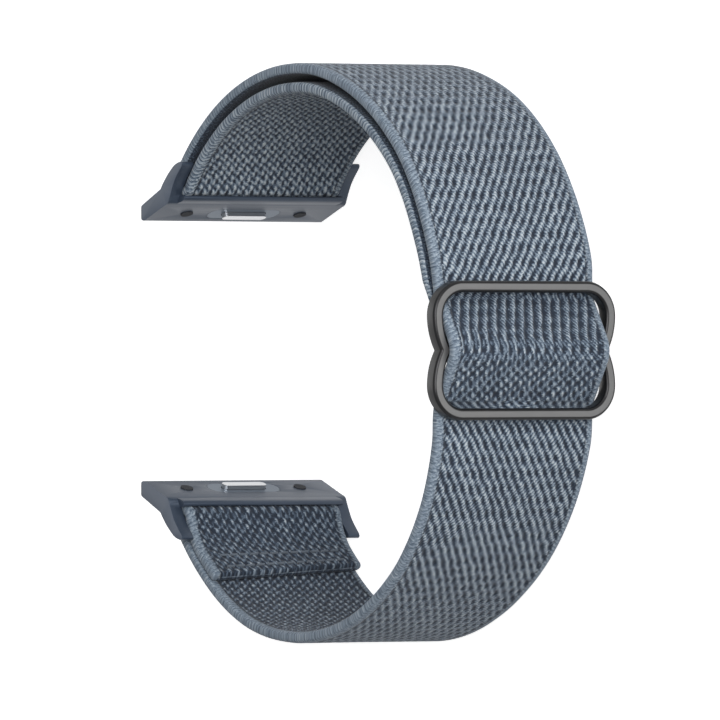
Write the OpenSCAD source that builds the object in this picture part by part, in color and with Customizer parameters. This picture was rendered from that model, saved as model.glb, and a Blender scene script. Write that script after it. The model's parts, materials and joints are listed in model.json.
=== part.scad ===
// Nylon watch strap: one elastic webbing, a metal slider and two lug adapters.
// The closed loop stands on its edge. X runs from the lower lug to the upper lug,
// Y runs from the slider to the space between the lugs, and Z runs across the strap.

/* [Webbing] */
// Width of the woven webbing
web_w = 25.4; // [22:0.1:28]
// Thickness of one layer
web_t = 1.6; // [1.4:0.05:1.7]
// Gap between the two layers of the upper half
layer_gap = 1; // [0.6:0.05:1.2]
// Thickness of the webbing pulled tight round the slider's middle bar
tight_t = 1.1; // [0.9:0.05:1.4]
// Length of the end that is folded round the lower lug and sewn down
flap_len = 12; // [9:0.5:15]

/* [Loop] */
// Outer radius of the closed loop
loop_r = 40.2; // [38:0.1:46]
// Half the distance between the bars of the two lugs
bar_rise = 24; // [22:0.5:26]

/* [Slider] */
// Length of the slider along the strap
frame_h = 18.9; // [18:0.1:21]
// Width of the slider's rim, seen from outside
rim_w = 1.6; // [1.4:0.05:1.8]
// Depth of the slider's rim, away from the wrist
rim_depth = 1.9; // [1.6:0.05:2.2]
// Diameter of the slider's middle bar
mid_bar_d = 1.3; // [1.1:0.05:1.6]
// How far the rim draws in at the middle bar
waist = 1.3; // [0.8:0.05:1.4]
// Slide of the slider to each side along the loop, in degrees
slide_deg = 20; // [10:1:24]

/* [Lug] */
// Diameter of the bar that the webbing folds round
bar_d = 1.3; // [1.1:0.05:1.4]
// Travel of the sprung catch
catch_travel = 0.5; // [0.3:0.05:0.5]
// How far the catch stands out of the tongue
catch_proud = 0.6; // [0.5:0.05:0.7]

/* [Hidden] */
$fa = 5;
$fs = 0.3;

slate = "#73879a";
deep_slate = "#46566b";
gunmetal = "#3b3c40";
steel = "#b4b8bc";
dark_rubber = "#26292e";

// Clearances and fits
side_play = 0.45;       // between a webbing edge and the slider's rim
cheek_play = 0.2;       // between a webbing edge and a lug's cheek
bar_play = 0.1;         // between the webbing fold and its bar
rim_play = 0.2;         // between the webbing and the slider's end bars
snug = 0.05;            // between layers and pieces that touch
strap_w = web_w + 2 * (side_play + rim_w);
mid_z = strap_w / 2;

// Centrelines of the two layers, as circles about the loop's centre
outer_r = loop_r - web_t / 2;
inner_r = outer_r - web_t - layer_gap;

// Bar of the upper lug, seen from the loop's centre
fold_r = bar_d / 2 + bar_play + web_t / 2;
fold_out = fold_r + web_t / 2;
bar_inset = 3.2;
bar_at = [bar_rise, sqrt(pow(loop_r - bar_inset, 2) - pow(bar_rise, 2))];
leave_deg = -15;        // where the layers leave the round part of the loop

function polar(r, a) = [r * cos(a), r * sin(a)];
function angle_of(v) = atan2(v[1], v[0]);

// Radius of an arc that leaves a circle about the loop's centre at leave_deg and touches
// the fold round the bar: side is 1 for the outer layer and -1 for the inner layer
function lead_r(r, side) =
    let (d = polar(1, leave_deg), v = r * d - bar_at, f = side * fold_r)
    (v * v - f * f) / (2 * (v * d - f));
outer_lead_r = lead_r(outer_r, 1);
inner_lead_r = lead_r(inner_r, -1);
outer_lead_at = polar(outer_r - outer_lead_r, leave_deg);
inner_lead_at = polar(inner_r - inner_lead_r, leave_deg);
outer_meet = angle_of(bar_at - outer_lead_at);
inner_meet = angle_of(bar_at - inner_lead_at);

// The sewn flap: a hollow bend off the fold, then a run flat against the layer above it
flap_r = outer_lead_r - web_t - snug;
flap_bend_r = 10;
function third_corner(a, b, ra, rb) =
    let (d = norm(b - a), u = (b - a) / d, m = (ra * ra - rb * rb + d * d) / (2 * d))
    a + m * u + sqrt(ra * ra - m * m) * [u[1], -u[0]];
flap_bend_at = third_corner(outer_lead_at, bar_at, flap_r - flap_bend_r, flap_bend_r + fold_r);
flap_touch = angle_of(flap_bend_at - outer_lead_at);
flap_leave = angle_of(bar_at - flap_bend_at);
flap_bend_len = flap_bend_r * (flap_leave - flap_touch) * PI / 180;
flap_end = flap_touch - (flap_len - flap_bend_len) / flap_r * 180 / PI;

// Slider: distances out from the loop's centre, and places along the strap
end_bar_x = (frame_h - rim_w) / 2;
frame_out = sqrt(pow(loop_r + rim_play + rim_depth / 2, 2) - pow(end_bar_x, 2));
mid_bar_recess = 0.6;
mid_bar_out = frame_out - mid_bar_recess;
loop_bend_r = mid_bar_d / 2 + snug + tight_t / 2;
crest_r = loop_bend_r + tight_t / 2 + 2 * snug + web_t / 2;
rim_round = 0.5;
corner_r = 3.9;
side_x = (strap_w - rim_w) / 2;
corner_at = [side_x - corner_r, end_bar_x - corner_r];
lobe_half = atan(waist / corner_at[1]);
lobe_r = corner_at[1] / sin(2 * lobe_half);
lobe_at = [side_x - lobe_r, corner_at[1]];
waist_x = lobe_at[0] + sqrt(pow(lobe_r - rim_w / 2, 2) - pow(lobe_at[1], 2));
waist_out = lobe_at[0] + sqrt(pow(lobe_r + rim_w / 2, 2) - pow(lobe_at[1], 2));
dip_r = 1.5 * web_t;
dip_deg = asin((end_bar_x - 0.6 * rim_w) / (outer_r + dip_r));
dip_at = [(outer_r + dip_r) * sin(dip_deg), (outer_r + dip_r) * cos(dip_deg)];
crest_at = [0, mid_bar_out];
dip_off = dip_at - crest_at;
slope = asin((crest_r + dip_r) / norm(dip_off)) - angle_of(dip_off);
draw_deg = acos((inner_r + loop_bend_r) / mid_bar_out);
tail_len = (mid_bar_out * cos(draw_deg) + (loop_bend_r - tight_t / 2) * cos(slope - draw_deg)
            - inner_r - tight_t / 2 - snug) / sin(slope - draw_deg);
frame_deg = asin(frame_h / 2 / frame_out);
wave_deg = frame_deg + slide_deg + 1.5;
end_loop_deg = wave_deg - 5;

loop_depth_back = mid_bar_out + crest_r + web_t / 2;
tongue_front = 8.2;
loop_y = (loop_depth_back - bar_at[1] - tongue_front) / 2;

// A strip is laid from ribs, each a pair of points on its left and right face. Its path is
// made of arcs, and a straight stretch lies between two arcs that don't touch.

function ribs(at, r, from, to, t = web_t) =
    let (side = to > from ? 1 : -1,
         steps = max(1, ceil(abs(to - from) / (r > 10 ? 5 : 15))))
    [for (i = [0 : steps])
        let (d = polar(1, from + (to - from) * i / steps))
        [at + (r - side * t / 2) * d, at + (r + side * t / 2) * d]];
function past_first(list) = [for (i = [1 : len(list) - 1]) list[i]];

// Closed skin over rings of points, with end caps or joined end to end
module skin(rings, looped = false) {
    n = len(rings[0]);
    m = len(rings);
    last = looped ? m - 1 : m - 2;
    sides = [for (i = [0 : last], j = [0 : n - 1])
        let (a = i * n + j, b = i * n + (j + 1) % n,
             c = (i + 1) % m * n + j, d = (i + 1) % m * n + (j + 1) % n)
        each [[a, d, b], [a, c, d]]];
    caps = looped ? [] : [[for (j = [0 : n - 1]) j], [for (j = [n - 1 : -1 : 0]) (m - 1) * n + j]];
    polyhedron([for (ring = rings) each ring], concat(sides, caps), convexity = 8);
}

// Webbing with rolled edges over the ribs of its path
module strip(path, w = web_w) {
    roll = 0.35 * web_t;
    function at_width(p, z) = [p[0], p[1], mid_z + z];
    skin([for (rib = path)
        let (near = rib[0], far = rib[1], q = 0.25 * (far - near),
             h = w / 2 - roll)
        [at_width(near, -h), at_width(near, h), at_width(near + q, w / 2),
         at_width(far - q, w / 2), at_width(far, h), at_width(far, -h),
         at_width(far - q, -w / 2), at_width(near + q, -w / 2)]]);
}

module about_loop() {
    translate([0, loop_y, 0])
        children();
}

// Outer layer from the slider to the lug, then round the lug's bar up to a given angle
function outer_path(fold_end) = concat(
    ribs([0, 0], outer_r, wave_deg - 90, leave_deg),
    past_first(ribs(outer_lead_at, outer_lead_r, leave_deg, outer_meet)),
    past_first(ribs(bar_at, fold_r, outer_meet, fold_end)));

module webbing_upper() {
    color(slate)
        about_loop()
            strip(concat(
                outer_path(inner_meet + 180),
                past_first(ribs(inner_lead_at, inner_lead_r, inner_meet, leave_deg)),
                past_first(ribs([0, 0], inner_r, leave_deg, end_loop_deg - 90))));
}

module webbing_lower() {
    color(slate)
        about_loop()
            mirror([1, 0, 0])
                strip(concat(
                    outer_path(flap_leave + 180),
                    past_first(ribs(flap_bend_at, flap_bend_r, flap_leave, flap_touch)),
                    past_first(ribs(outer_lead_at, flap_r, flap_touch, flap_end))));
}

// Wave from the lower layer under one end bar, over the middle bar and under the other
module webbing_wave() {
    top = [0, -mid_bar_out];
    color(slate)
        about_loop()
            strip(concat(
                ribs([0, 0], outer_r, -90 - wave_deg + snug, -90 - dip_deg),
                past_first(ribs([-dip_at[0], -dip_at[1]], dip_r, 90 - dip_deg, 90 - slope)),
                ribs(top, crest_r, -90 - slope, -90 + slope),
                ribs([dip_at[0], -dip_at[1]], dip_r, 90 + slope, 90 + dip_deg),
                past_first(ribs([0, 0], outer_r, -90 + dip_deg, -90 + wave_deg - snug))));
}

// The inner layer's end: in along the wrist side, round the middle bar, and back as a tail
module webbing_end_loop() {
    top = [0, -mid_bar_out];
    tail_way = polar(1, slope);
    tail_left = polar(tight_t / 2, slope + 90);
    tail_end = top + polar(loop_bend_r, slope - 90) + tail_len * tail_way;
    color(slate)
        about_loop()
            strip(concat(
                ribs([0, 0], inner_r, end_loop_deg - 90 - snug, draw_deg - 90, tight_t),
                ribs(top, loop_bend_r, 90 + draw_deg, 270 + slope, tight_t),
                [[tail_end + tail_left, tail_end - tail_left]]),
                2 * (waist_x - snug));
}

// Rows of thread stitches across the strap, sunk into the wrist face of the webbing
stitch_pitch = 1.7;
stitch_len = 1.15;
stitch_d = 0.36;
flap_rows = [1.4, 4.4];         // distances from the flap's raw end
end_loop_rows = [2.2, 3.4];     // distances from the middle bar

module stitch_row(w) {
    count = floor((w - 2 * stitch_pitch) / stitch_pitch);
    for (i = [0 : count - 1])
        translate([0, 0, mid_z + (i - (count - 1) / 2) * stitch_pitch])
            cylinder(d = stitch_d, h = stitch_len, center = true, $fn = 16);
}

module flap_stitching() {
    color(deep_slate)
        about_loop()
            mirror([1, 0, 0])
                for (back = flap_rows) {
                    a = flap_end + back / flap_r * 180 / PI;
                    p = outer_lead_at + polar(flap_r - web_t / 2, a);
                    translate([p[0], p[1], 0])
                        stitch_row(web_w);
                }
}

module end_loop_stitching() {
    foot = [0, -mid_bar_out] - (loop_bend_r + tight_t / 2) * polar(1, draw_deg - 90);
    color(deep_slate)
        about_loop()
            for (far = end_loop_rows) {
                p = foot + far * polar(1, draw_deg);
                translate([p[0], p[1], 0])
                    stitch_row(2 * waist_x);
            }
}

// Slider: a rim of two lobes with a waist, and a middle bar from side to side

// One quarter of the rim's centre line, from the waist to the end bar: [middle, radius, angle]
rim_path = concat(
    [for (a = [-2 * lobe_half + 7 : 7 : -4]) [lobe_at, lobe_r, a]],
    [for (a = [0 : 15 : 90]) [corner_at, corner_r, a]]);

// Rim section with rounded edges over one pair of points on its inner and outer side
function rim_ring(near, far) =
    let (u = (far - near) / norm(far - near), d = rim_depth / 2, r = rim_round, c = 0.3 * r)
    [for (s = [[near, 0, r - d], [near, 0, d - r], [near, c, d - c], [near, r, d],
               [far, -r, d], [far, -c, d - c], [far, 0, d - r], [far, 0, r - d],
               [far, -c, c - d], [far, -r, -d], [near, r, -d], [near, c, c - d]])
        [s[0][0] + s[1] * u[0], s[0][1] + s[1] * u[1], s[2]]];

// Rings of one quarter, mirrored by the signs sx and sy
function rim_quarter(sx, sy) =
    [for (p = rim_path)
        let (d = polar(1, p[2]), near = p[0] + (p[1] - rim_w / 2) * d,
             far = p[0] + (p[1] + rim_w / 2) * d)
        rim_ring([sx * near[0], sy * near[1]], [sx * far[0], sy * far[1]])];
function waist_ring(sx) = rim_ring([sx * waist_x, 0], [sx * waist_out, 0]);
function backwards(list) = [for (i = [len(list) - 1 : -1 : 0]) list[i]];

module slider_frame() {
    color(gunmetal)
        about_loop()
            translate([0, -frame_out, mid_z])
                rotate([90, -90, 0]) {
                    skin(concat([waist_ring(1)], rim_quarter(1, 1), backwards(rim_quarter(-1, 1)),
                                [waist_ring(-1)], rim_quarter(-1, -1),
                                backwards(rim_quarter(1, -1))), looped = true);
                    translate([0, 0, -mid_bar_recess])
                        rotate([0, 90, 0])
                            cylinder(d = mid_bar_d, h = 2 * (side_x - waist), center = true,
                                     $fn = 32);
                }
}

// Lug adapter, drawn as [outward, forward] from the centre of its bar

tongue_tip_at = [-4.4, 7.05];
tongue_tip_r = tongue_front - tongue_tip_at[1];
tongue_root_at = [-2.35, 1.9];
tongue_root_r = 1.3;
tongue_run = tongue_tip_at - tongue_root_at;
tongue_taper = asin((tongue_root_r - tongue_tip_r) / norm(tongue_run));
tongue_deg = angle_of(tongue_run) - 90;
under_deg = tongue_deg - tongue_taper;
upper_deg = tongue_deg + tongue_taper;
under_root = tongue_root_at - tongue_root_r * polar(1, under_deg);
under_tip = tongue_tip_at - tongue_tip_r * polar(1, under_deg);

// Hand-drawn guide points of the arm: the wrist side, its tip, and the outer S-curve
arm_guide = [[-3.15, 0.35], [-2.4, -0.1], [-1.35, -0.65], [-0.25, -1.3], [0.65, -2.05],
             [1.45, -2.85], [2, -3.4], [2.4, -3.55], [2.65, -3.25], [2.6, -2.7],
             [2.4, -1.95], [2.03, -1.15], [1.45, -0.32], [0.75, 0.58], [-0.02, 1.38],
             [-0.65, 2]];

// Smooth curve through guide points, four steps to a stretch
function curve_point(a, b, c, d, t) =
    0.5 * (2 * b + (c - a) * t + (2 * a - 5 * b + 4 * c - d) * t * t
    + (3 * b - a - 3 * c + d) * t * t * t);
function smooth(pts, steps = 4) =
    [for (i = [1 : len(pts) - 3], s = [0 : steps - 1])
        curve_point(pts[i - 1], pts[i], pts[i + 1], pts[i + 2], s / steps)];

upper_root = tongue_root_at + tongue_root_r * polar(1, upper_deg);
upper_tip = tongue_tip_at + tongue_tip_r * polar(1, upper_deg);
under_way = (under_tip - under_root) / 6;
upper_way = (upper_tip - upper_root) / 6;
tip_steps = 12;
lug_outline = concat(
    [for (i = [0 : tip_steps])
        tongue_tip_at + tongue_tip_r
        * polar(1, upper_deg + (180 + under_deg - upper_deg) * i / tip_steps)],
    smooth(concat([under_root + under_way, under_root], arm_guide,
                  [upper_root, upper_root + upper_way])),
    [upper_root]);

// Thin ledge over the front of the fold, on the wrist side
ledge_outline = concat(
    smooth([under_root + under_way, under_root, [-3.15, 0.2], [-3, -0.6], [-2.78, -1.3],
            [-2.45, -1.62], [-2.1, -1.55], [-1.95, -1.2], [-1.9, -0.6]]),
    [[-1.9, 1]]);

pocket_r = fold_out + 0.25;
mouth_front = 2.5;      // front of the opening that the layers leave the lug by
mouth_floor = -1.6;
bar_cover = 1;          // metal left over each end of the bar
plan_corner = 0.9;
plan_back = -4.4;
plan_front = tongue_front + 0.2;
ledge_sink = 0.3;       // how far the ledge's ends run into the cheeks
past = 5;               // how far cuts run past the metal

catch_at = (under_root + under_tip) / 2;
catch_len = 7.1;
catch_w = 1.4;
flange_len = 9.4;
flange_w = 2.2;
flange_t = 0.35;
plate_len = 11.6;
plate_w = 3.4;
plate_t = 0.3;
leaf_room = 0.45;       // left for the leaf spring when the catch is pressed
pocket_depth = plate_t + snug + flange_t + catch_travel + leaf_room;
slide_play = 0.1;
pad_d = 1.8;
pad_depth = 1;
pad_proud = 0.15;
pad_off = 9.4;
spring_t = 0.12;
spring_w = 1.6;

module lug_part() {
    about_loop()
        translate([bar_at[0], bar_at[1], 0])
            children();
}

// On the tongue's wrist face: X across the strap, Y towards the tip, Z out of the face
module on_tongue() {
    translate([catch_at[0], catch_at[1], mid_z])
        rotate(under_deg)
            rotate([0, -90, 0])
                children();
}

module pill(length, width, height) {
    linear_extrude(height) {
        square([length - width, width], center = true);
        for (s = [-1, 1])
            translate([s * (length - width) / 2, 0])
                circle(d = width, $fn = 32);
    }
}

// Plan of the lug seen from outside, with its corners rounded
module lug_plan() {
    translate([0, plan_back + plan_corner])
        square([strap_w, plan_front - plan_back - 2 * plan_corner]);
    translate([plan_corner, plan_back])
        square([strap_w - 2 * plan_corner, plan_front - plan_back]);
    for (x = [plan_corner, strap_w - plan_corner],
         y = [plan_back + plan_corner, plan_front - plan_corner])
        translate([x, y])
            circle(r = plan_corner, $fn = 32);
}

module lug_body() {
    slot_w = web_w + 2 * cheek_play;
    color(deep_slate)
        lug_part() {
            difference() {
                intersection() {
                    union() {
                        linear_extrude(strap_w)
                            polygon(lug_outline);
                        translate([0, 0, mid_z - slot_w / 2 - ledge_sink])
                            linear_extrude(slot_w + 2 * ledge_sink)
                                polygon(ledge_outline);
                    }
                    translate([tongue_front, 0, 0])
                        rotate([0, -90, 0])
                            linear_extrude(2 * tongue_front)
                                lug_plan();
                }
                translate([0, 0, mid_z - slot_w / 2]) {
                    cylinder(r = pocket_r, h = slot_w, $fn = 96);
                    translate([mouth_floor, plan_back - past])
                        cube([past - mouth_floor, past - plan_back + mouth_front, slot_w]);
                }
                on_tongue() {
                    translate([0, 0, -pocket_depth])
                        pill(flange_len + 2 * slide_play, flange_w + 2 * slide_play, past);
                    translate([0, 0, -plate_t])
                        pill(plate_len + 2 * snug, plate_w + 2 * snug, past);
                    for (s = [-1, 1])
                        translate([s * pad_off, 0, -pad_depth])
                            cylinder(d = pad_d + snug, h = past, $fn = 32);
                }
            }
            lug_bar();
        }
}

// Bar that the webbing folds round, in one piece with the cheeks
module lug_bar() {
    translate([0, 0, bar_cover])
        cylinder(d = bar_d, h = strap_w - 2 * bar_cover, $fn = 32);
}

// Sprung button that snaps into the groove's middle recess
module lug_catch() {
    color(steel)
        lug_part()
            on_tongue() {
                translate([0, 0, -plate_t - snug - flange_t])
                    pill(flange_len, flange_w, flange_t);
                translate([0, 0, -plate_t - snug - flange_t])
                    pill(catch_len, catch_w, plate_t + snug + flange_t + catch_proud);
            }
}

// Bowed leaf between the pocket's floor and the catch's flange
module lug_spring() {
    room = pocket_depth - plate_t - snug - flange_t - 2 * snug;
    chord = flange_len - flange_w / 2;
    sag = room - spring_t;
    bow_r = (chord * chord / 4 + sag * sag) / (2 * sag);
    color(steel)
        lug_part()
            on_tongue()
                translate([0, spring_w / 2, -pocket_depth + snug])
                    rotate([90, 0, 0])
                        linear_extrude(spring_w)
                            intersection() {
                                translate([0, sag - bow_r])
                                    difference() {
                                        circle(r = bow_r + spring_t, $fn = 360);
                                        circle(r = bow_r, $fn = 360);
                                    }
                                translate([-chord / 2, 0])
                                    square([chord, room]);
                            }
}

// Thin plate flush with the tongue that keeps the catch in its pocket
module lug_retainer() {
    color(deep_slate)
        lug_part()
            on_tongue()
                translate([0, 0, -plate_t])
                    difference() {
                        pill(plate_len, plate_w, plate_t);
                        translate([0, 0, -plate_t])
                            pill(catch_len + 2 * slide_play, catch_w + 2 * slide_play,
                                 3 * plate_t);
                    }
}

// Two rubber dots that stop the tongue from rattling in its groove
module lug_pads() {
    color(dark_rubber)
        lug_part()
            on_tongue()
                for (s = [-1, 1])
                    translate([s * pad_off, 0, -pad_depth])
                        cylinder(d = pad_d, h = pad_depth + pad_proud, $fn = 32);
}

webbing_upper();
webbing_lower();
webbing_wave();
webbing_end_loop();
flap_stitching();
end_loop_stitching();
slider_frame();
lug_body();  // upper_lug_body
lug_catch();  // upper_lug_catch
lug_spring();  // upper_lug_spring
lug_retainer();  // upper_lug_retainer
lug_pads();  // upper_lug_pads
mirror([1, 0, 0]) lug_body();  // lower_lug_body
mirror([1, 0, 0]) lug_catch();  // lower_lug_catch
mirror([1, 0, 0]) lug_spring();  // lower_lug_spring
mirror([1, 0, 0]) lug_retainer();  // lower_lug_retainer
mirror([1, 0, 0]) lug_pads();  // lower_lug_pads
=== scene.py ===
"""Looks of a nylon watch strap: woven webbing, a metal slider and two lug adapters.

The strap stands on its edge. X runs from the lower lug to the upper lug, Y from the
slider to the bay between the lugs, and Z across the strap. Lengths are in millimetres
until a mesh is made, and in metres from there on.
"""

import json
import math
from types import SimpleNamespace

import bmesh
import bpy
import numpy as np
from mathutils import Matrix, Vector


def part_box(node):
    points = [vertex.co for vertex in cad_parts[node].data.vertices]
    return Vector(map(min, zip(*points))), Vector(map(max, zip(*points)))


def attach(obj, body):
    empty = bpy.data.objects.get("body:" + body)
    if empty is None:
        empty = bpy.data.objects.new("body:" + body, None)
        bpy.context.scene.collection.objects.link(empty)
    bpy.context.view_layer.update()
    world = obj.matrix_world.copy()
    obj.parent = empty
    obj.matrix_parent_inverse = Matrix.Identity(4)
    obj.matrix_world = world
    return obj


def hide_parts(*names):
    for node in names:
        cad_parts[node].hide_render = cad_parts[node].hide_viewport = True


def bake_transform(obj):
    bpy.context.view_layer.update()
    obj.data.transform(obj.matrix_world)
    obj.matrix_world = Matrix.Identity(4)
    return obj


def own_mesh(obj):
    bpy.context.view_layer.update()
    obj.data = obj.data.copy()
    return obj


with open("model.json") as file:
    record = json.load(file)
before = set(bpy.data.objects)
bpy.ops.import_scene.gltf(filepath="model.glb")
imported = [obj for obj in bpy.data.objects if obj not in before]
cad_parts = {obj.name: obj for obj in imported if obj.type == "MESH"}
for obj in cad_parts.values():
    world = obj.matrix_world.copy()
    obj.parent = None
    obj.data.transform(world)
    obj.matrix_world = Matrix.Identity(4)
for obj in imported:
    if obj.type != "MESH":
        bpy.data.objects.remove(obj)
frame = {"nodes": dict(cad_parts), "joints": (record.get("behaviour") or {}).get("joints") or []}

bl_info = {
    "name": "Nylon watch strap",
    "version": (1, 0, 0),
    "blender": (4, 5, 0),
    "location": "View3D > Sidebar > Strap",
    "description": "Dresses the solids of a nylon watch strap in woven webbing and metal",
    "category": "Object",
}

MM = 0.001
SIDES = ("upper", "lower")
TURN = 2 * math.pi
PHOTO_PX = 720


# Sizes of the strap, taken from the frame and from the source of its solids

def joint_named(name):
    """A joint of the frame."""
    return next(joint for joint in frame["joints"] if joint["name"] == name)


def joint_place(name):
    """Where a joint sits, in millimetres."""
    return np.array(joint_named(name)["pos_m"]) / MM


def polar(radius, degrees):
    """The point at a radius and an angle."""
    turn = math.radians(degrees)
    return radius * np.array([math.cos(turn), math.sin(turn)])


def angle_of(vector):
    """The angle of a vector, in degrees."""
    return math.degrees(math.atan2(vector[1], vector[0]))


def lead_radius(run_radius, leave, bar, fold_r):
    """Radius of the arc from the round of the loop to a fold; fold_r is negative inside."""
    way = polar(1, leave)
    gap = run_radius * way - bar
    return (gap @ gap - fold_r * fold_r) / (2 * (gap @ way - fold_r))


def third_corner(a, b, from_a, from_b):
    """The point at given distances from two points, to the right of the line a to b."""
    span = np.linalg.norm(b - a)
    along = (b - a) / span
    reach = (from_a**2 - from_b**2 + span**2) / (2 * span)
    side = math.sqrt(from_a**2 - reach**2)
    return a + reach * along + side * np.array([along[1], -along[0]])


def strap_sizes():
    """Everything that the pieces share, in millimetres and degrees."""
    s = SimpleNamespace()
    s.centre = joint_place("slider_travel")
    s.bar = (joint_place("upper_lug_swing") - s.centre)[:2]
    low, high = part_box("webbing_upper")
    s.width = (high.z - low.z) / MM
    s.mid_z = (high.z + low.z) / 2 / MM
    low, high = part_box("slider_frame")
    s.strap_w = (high.z - low.z) / MM
    s.frame_h = (high.x - low.x) / MM
    s.rim_depth = (high.y - low.y) / MM

    # The webbing: thick in the round of the loop, tight in the end loop, in two layers above
    s.thick = 1.6
    s.tight = 1.1
    s.snug = 0.05
    s.loop_r = 40.2
    s.layer_gap = 1.0
    s.outer_r = s.loop_r - s.thick / 2
    s.inner_r = s.outer_r - s.thick - s.layer_gap
    s.bar_d = 1.3
    s.fold_r = s.bar_d / 2 + 0.1 + s.thick / 2
    s.leave = -15
    s.outer_lead_r = lead_radius(s.outer_r, s.leave, s.bar, s.fold_r)
    s.inner_lead_r = lead_radius(s.inner_r, s.leave, s.bar, -s.fold_r)
    s.outer_lead_at = polar(s.outer_r - s.outer_lead_r, s.leave)
    s.inner_lead_at = polar(s.inner_r - s.inner_lead_r, s.leave)
    s.outer_meet = angle_of(s.bar - s.outer_lead_at)
    s.inner_meet = angle_of(s.bar - s.inner_lead_at)

    # The flap, sewn down at the lower lug, and its raw end's slant: how far it reaches, and how
    # much it cuts off in the middle and more or less at the edges
    s.flap_len = 12
    s.flap_r = s.outer_lead_r - s.thick - s.snug
    s.flap_bend_r = 10
    s.flap_bend_at = third_corner(
        s.outer_lead_at, s.bar, s.flap_r - s.flap_bend_r, s.flap_bend_r + s.fold_r
    )
    s.flap_touch = angle_of(s.flap_bend_at - s.outer_lead_at)
    s.flap_leave = angle_of(s.bar - s.flap_bend_at)
    bend_len = math.radians(s.flap_leave - s.flap_touch) * s.flap_bend_r
    s.flap_end = s.flap_touch - math.degrees((s.flap_len - bend_len) / s.flap_r)
    s.slant_len = 8
    s.slant_mid = 1.8
    s.slant_lean = 1.0

    # The slider, and the webbing's dips and crest as it weaves through
    s.rim_w = 1.6
    s.mid_bar_d = 1.3
    s.mid_bar_recess = 0.6
    s.waist = 1.3
    s.rim_round = 0.46
    s.corner_r = 3.9
    s.end_bar = (s.frame_h - s.rim_w) / 2
    s.side = (s.strap_w - s.rim_w) / 2
    s.frame_out = math.sqrt((s.loop_r + 0.2 + s.rim_depth / 2) ** 2 - s.end_bar**2)
    s.mid_bar_out = s.frame_out - s.mid_bar_recess
    s.bend_r = s.mid_bar_d / 2 + s.snug + s.tight / 2
    s.crest_r = s.bend_r + s.tight / 2 + 2 * s.snug + s.thick / 2
    s.dip_r = 1.5 * s.thick
    s.dip_deg = math.degrees(math.asin((s.end_bar - 0.6 * s.rim_w) / (s.outer_r + s.dip_r)))
    s.dip_at = (s.outer_r + s.dip_r) * np.array(
        [math.sin(math.radians(s.dip_deg)), -math.cos(math.radians(s.dip_deg))]
    )
    s.crest_at = np.array([0, -s.mid_bar_out])
    rise = -s.dip_at[1] - s.mid_bar_out
    span = math.hypot(s.dip_at[0], rise)
    s.slope = math.degrees(math.asin((s.crest_r + s.dip_r) / span)) - angle_of(
        (s.dip_at[0], rise)
    )
    s.draw = math.degrees(math.acos((s.inner_r + s.bend_r) / s.mid_bar_out))
    s.tail_len = 5.33
    s.loop_width = 0.917
    return s


# Path of the webbing, seen along the strap's width from the middle of the loop

def arc(centre, radius, start, end):
    """Points along an arc, a tenth of a millimetre apart."""
    spacing = 0.1
    count = int(abs(math.radians(end - start)) * radius / spacing) + 2
    turns = np.radians(np.linspace(start, end, count))
    return np.column_stack(
        [centre[0] + radius * np.cos(turns), centre[1] + radius * np.sin(turns)]
    )


def outer_layer(s, fold_end):
    """The outer layer from the slider up to a lug and round its bar."""
    return [
        arc((0, 0), s.outer_r, s.dip_deg - 90, s.leave),
        arc(s.outer_lead_at, s.outer_lead_r, s.leave, s.outer_meet),
        arc(s.bar, s.fold_r, s.outer_meet, fold_end),
    ]


def lower_part(s):
    """From the flap's raw end round the lower bar and down to the slider."""
    upward = np.concatenate(
        [
            *outer_layer(s, s.flap_leave + 180),
            arc(s.flap_bend_at, s.flap_bend_r, s.flap_leave, s.flap_touch),
            arc(s.outer_lead_at, s.flap_r, s.flap_touch, s.flap_end),
        ]
    )
    return upward[::-1] * [-1, 1]


def wave_part(s):
    """Under the lower end bar, over the middle bar and under the upper end bar."""
    left_dip = s.dip_at * [-1, 1]
    return np.concatenate(
        [
            arc(left_dip, s.dip_r, 90 - s.dip_deg, 90 - s.slope),
            arc(s.crest_at, s.crest_r, -90 - s.slope, s.slope - 90),
            arc(s.dip_at, s.dip_r, 90 + s.slope, 90 + s.dip_deg),
        ]
    )


def upper_part(s):
    """Up to the upper bar, back on the inside, round the middle bar, and the tail."""
    tail_way = polar(1, s.slope)
    bend_end = s.crest_at + polar(s.bend_r, s.slope - 90)
    return np.concatenate(
        [
            *outer_layer(s, s.inner_meet + 180),
            arc(s.inner_lead_at, s.inner_lead_r, s.inner_meet, s.leave),
            arc((0, 0), s.inner_r, s.leave, s.draw - 90),
            arc(s.crest_at, s.bend_r, 90 + s.draw, 270 + s.slope),
            [bend_end + s.tail_len * tail_way],
        ]
    )


# How far the worn loop stands off its drawn circle: degrees from the slider, and mm at the
# near and the far edge, for the upper half and the lower half
SETTLED = {
    1: (
        (0, 0, 0), (13.5, 0, 0), (17, 0.15, 0.85), (22, 0.15, 0.88), (28, 0.15, 0.85),
        (34, 0.3, 0.84), (42, 0.42, 0.82), (51, 0.25, 0.68), (60, 0.12, 0.5), (70, 0, 0.15),
        (80, -0.05, 0), (90, -0.3, -0.1), (100, -0.38, -0.2), (110, -0.35, -0.2),
        (122, -0.2, -0.1), (136, 0, 0), (180, 0, 0),
    ),
    -1: (
        (0, 0, 0), (13.5, 0, 0), (17, 0.75, 0.7), (22, 1.15, 0.75), (30, 1.7, 0.75),
        (38, 1.9, 0.6), (46, 1.95, 0.42), (56, 1.6, 0.12), (68, 1.15, 0.05), (80, 0.65, 0.3),
        (92, 0.32, 0.66), (106, 0.3, 0.55), (126, 0, 0), (180, 0, 0),
    ),
}


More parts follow.
